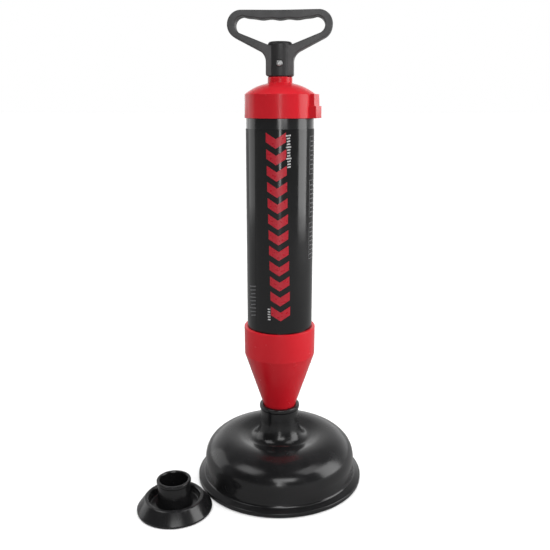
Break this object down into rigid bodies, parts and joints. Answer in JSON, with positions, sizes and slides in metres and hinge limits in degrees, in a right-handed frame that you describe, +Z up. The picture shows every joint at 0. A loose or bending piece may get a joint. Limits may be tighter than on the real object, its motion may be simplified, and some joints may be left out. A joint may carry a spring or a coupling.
{
  "type": "hand-pump drain plunger",
  "caption": "Hand-pump drain plunger with a rubber bell cup, a sliding piston rod with a D-handle, a conical nozzle and a loose small adapter cup.",
  "frame": {"origin": "on the barrel's axis, at the level of the cup's lip, which is the surface that the object stands on", "axes": "+Z up the barrel towards the handle, +X to the right when the handle's screw faces the viewer, -Y towards the viewer"},
  "size_m": [0.2098, 0.1763, 0.4352],
  "materials": {
    "black_rubber": "moulded, semi-gloss",
    "seal_rubber": "satin",
    "red_gloss": "polished moulding",
    "black_gloss": "glossy printed tube",
    "label_film": "glossy printed film",
    "black_matte": "fine moulded grain",
    "rod_plastic": "smooth extruded",
    "nylon": "natural",
    "steel": "zinc plated"
  },
  "bodies": {
    "cup": {"large_rubber_cup": "black_rubber"},
    "adapter": {"small_adapter_cup": "black_rubber"},
    "barrel": {"nozzle_cone": "red_gloss", "tube_seal_ring": "seal_rubber", "barrel_tube": "black_gloss", "barrel_label": "label_film", "top_cap": "red_gloss", "rod_guide_bush": "nylon"},
    "piston_seal": {"piston_seal_ring": "seal_rubber"},
    "rod": {"piston_screw": "steel", "piston_washer": "steel", "lower_piston_disc": "nylon", "upper_piston_disc": "nylon", "bumper_ring": "seal_rubber", "piston_rod": "rod_plastic", "rod_end_plug": "nylon", "rod_top_plug": "nylon", "d_handle": "black_matte", "handle_screw": "steel"}
  },
  "joints": [
    {"name": "nozzle_pull", "type": "slide", "parent": "cup", "child": "barrel", "axis": [0, 0, 1], "range_m": [0, 0.045]},
    {"name": "piston_stroke", "type": "slide", "parent": "barrel", "child": "piston_seal", "axis": [0, 0, 1], "range_m": [0, 0.2]},
    {"name": "handle_spin", "type": "hinge", "parent": "piston_seal", "child": "rod", "pos_m": [0, 0, 0.15], "axis": [0, 0, 1], "continuous": true},
    {"name": "adapter_lift", "type": "slide", "parent": "cup", "child": "adapter", "axis": [0, 0, 1], "range_m": [0, 0.1]}
  ]
}
